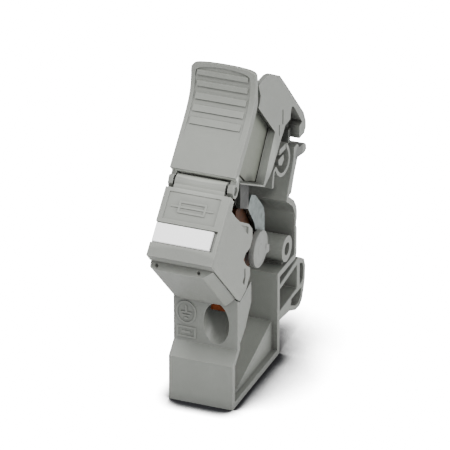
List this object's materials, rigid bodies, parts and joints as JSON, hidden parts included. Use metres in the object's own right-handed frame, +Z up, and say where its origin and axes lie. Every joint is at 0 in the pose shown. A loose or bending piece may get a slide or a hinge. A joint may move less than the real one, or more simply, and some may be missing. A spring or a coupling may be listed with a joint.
{
  "type": "cartridge fuse holder",
  "caption": "Narrow grey rail-mounted fuse holder with a ribbed hinged fuse lever on a sloped front, a marker strip, a slanted clamp cover and an open-sided housing with a sprung rail latch.",
  "frame": {"origin": "centre of the flat end face the part stands on (lowest face)", "axes": "+Z up the housing, +X to the open side across the 16 mm width, +Y towards the mounting rail"},
  "size_m": [0.016, 0.0605, 0.0809],
  "materials": {
    "housing_plastic": "light grey moulded polyamide, fine satin texture",
    "carrier_plastic": "light grey moulded polyamide, fine satin texture",
    "dark_plastic": "dark grey moulded polyamide",
    "marker_plastic": "plain white marker strip",
    "link_plastic": "warm grey moulded disc",
    "copper": "bare dull copper",
    "tinned_copper": "tin-plated copper, satin",
    "cap_metal": "nickel-plated brass cap",
    "steel": "zinc-plated steel",
    "glass": "clear glass tube"
  },
  "bodies": {
    "body": {"base_housing": "housing_plastic", "head_frame": "housing_plastic", "front_carrier": "carrier_plastic", "marker_strip": "marker_plastic", "lever_hinge_pin": "steel", "contact_clip_lower": "tinned_copper", "contact_clip_upper": "tinned_copper", "contact_block": "dark_plastic", "busbar_upper": "copper", "busbar_lower": "copper", "clamp_cage_upper": "tinned_copper", "clamp_cage_lower": "copper", "disc_spindle": "steel", "earth_strip": "copper", "earth_contact_blade": "tinned_copper", "hook_spring": "housing_plastic"},
    "lever": {"fuse_lever": "carrier_plastic", "fuse_cradle": "dark_plastic", "fuse_tube": "glass", "fuse_cap_lower": "cap_metal", "fuse_cap_upper": "cap_metal", "fuse_element": "tinned_copper"},
    "cover": {"entry_cover": "carrier_plastic"},
    "latch": {"rail_latch": "housing_plastic"},
    "link_disc": {"earth_link_disc": "link_plastic"},
    "upper_screw": {"clamp_screw_upper": "steel"},
    "lower_screw": {"clamp_screw_lower": "steel"},
    "upper_plate": {"pressure_plate_upper": "steel"},
    "lower_plate": {"pressure_plate_lower": "steel"}
  },
  "joints": [
    {"name": "lever_hinge", "type": "hinge", "parent": "body", "child": "lever", "pos_m": [0, -0.0132, 0.056], "axis": [1, 0, 0], "range_deg": [0, 90]},
    {"name": "cover_hinge", "type": "hinge", "parent": "body", "child": "cover", "pos_m": [0, -0.0236, 0.0396], "axis": [-1, 0, 0], "range_deg": [0, 80]},
    {"name": "latch_slide", "type": "slide", "parent": "body", "child": "latch", "axis": [0, 0, -1], "range_m": [0, 0.0025], "stiffness_N_per_m": 2000},
    {"name": "disc_turn", "type": "hinge", "parent": "body", "child": "link_disc", "pos_m": [0.0062, 0.0053, 0.0322], "axis": [-1, 0, 0], "range_deg": [0, 90]},
    {"name": "upper_screw_turn", "type": "hinge", "parent": "body", "child": "upper_screw", "pos_m": [-0.0011, 0.00643, 0.07362], "axis": [0, 0.7071, -0.7071], "range_deg": [0, 1152.6]},
    {"name": "lower_screw_turn", "type": "hinge", "parent": "body", "child": "lower_screw", "pos_m": [0.0027, -0.0125, 0.032], "axis": [0, 1, 0], "range_deg": [0, 864.6]},
    {"name": "upper_plate_slide", "type": "slide", "parent": "body", "child": "upper_plate", "axis": [0, 0.7071, -0.7071], "range_m": [0, 0.0016]},
    {"name": "lower_plate_slide", "type": "slide", "parent": "body", "child": "lower_plate", "axis": [0, 1, 0], "range_m": [0, 0.0012]}
  ],
  "couplings": [
    {"joint": "upper_screw_turn", "follows": "upper_plate_slide", "rad_per_m": 12566},
    {"joint": "lower_screw_turn", "follows": "lower_plate_slide", "rad_per_m": 12566}
  ]
}
